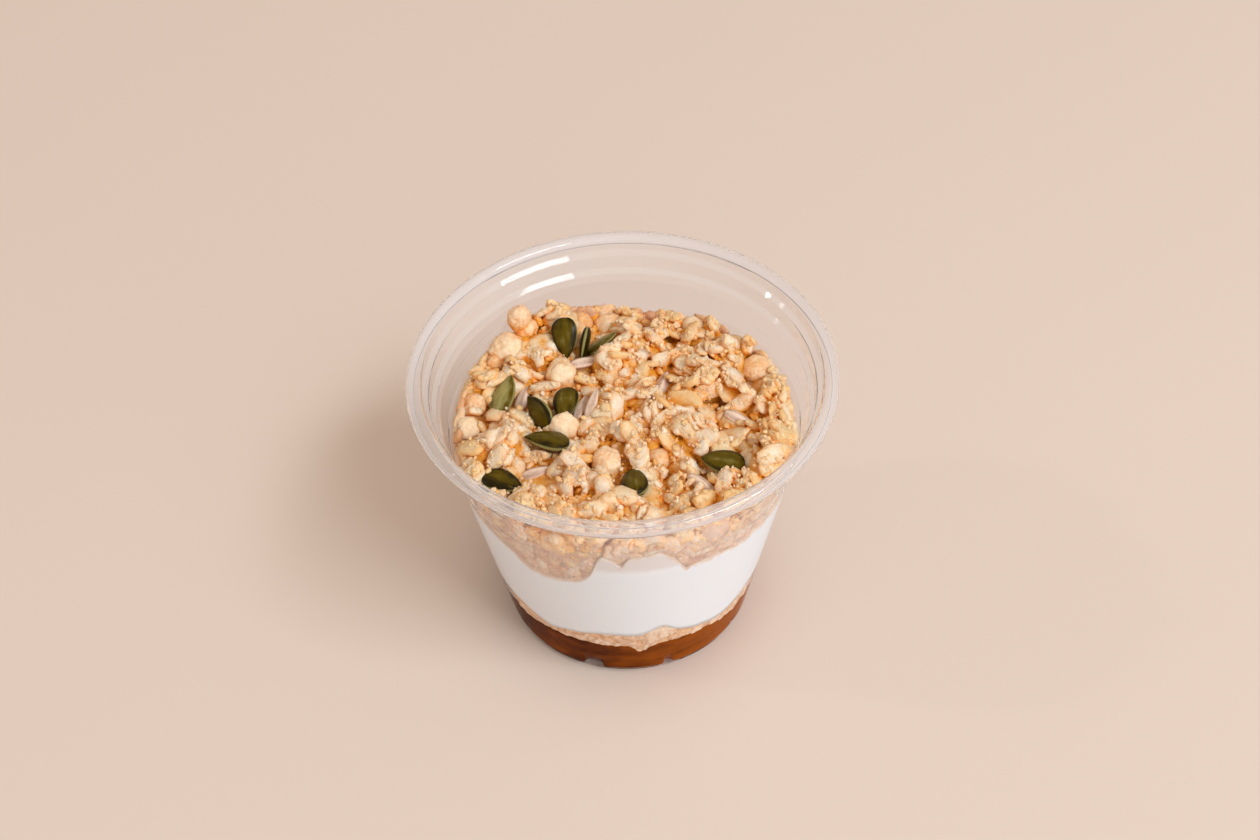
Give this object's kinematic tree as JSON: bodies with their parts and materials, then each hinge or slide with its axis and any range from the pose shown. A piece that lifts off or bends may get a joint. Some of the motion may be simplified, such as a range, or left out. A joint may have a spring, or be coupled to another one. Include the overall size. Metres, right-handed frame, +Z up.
{
  "type": "granola pot",
  "caption": "Clear tapered cup with a rolled rim, holding caramel, crumbs and yoghurt in layers under a heap of granola with pumpkin seeds.",
  "frame": {"origin": "middle of the cup's base, on the surface that it stands on", "axes": "+Z up along the cup's axis, -Y towards the front of the picture's view, +X to its right"},
  "size_m": [0.095, 0.0948, 0.0725],
  "materials": {
    "clear_plastic": "clear thin-walled plastic, smooth and glossy",
    "caramel": "dark glossy caramel, stands in for food",
    "crumbs": "matte pale brown biscuit crumbs, stands in for food",
    "yoghurt": "smooth satin white yoghurt, stands in for food",
    "granola": "matte golden baked oats and puffed grain, stands in for food",
    "pumpkin_seed": "dark olive seed skin with a dull shine, stands in for food"
  },
  "bodies": {
    "root": {"cup": "clear_plastic", "caramel": "caramel", "crumb_layer": "crumbs", "yoghurt": "yoghurt", "granola": "granola", "pumpkin_seed_1": "pumpkin_seed", "pumpkin_seed_2": "pumpkin_seed", "pumpkin_seed_3": "pumpkin_seed", "pumpkin_seed_4": "pumpkin_seed", "pumpkin_seed_5": "pumpkin_seed", "pumpkin_seed_6": "pumpkin_seed", "pumpkin_seed_7": "pumpkin_seed", "pumpkin_seed_8": "pumpkin_seed", "pumpkin_seed_9": "pumpkin_seed", "pumpkin_seed_10": "pumpkin_seed"}
  },
  "joints": []
}
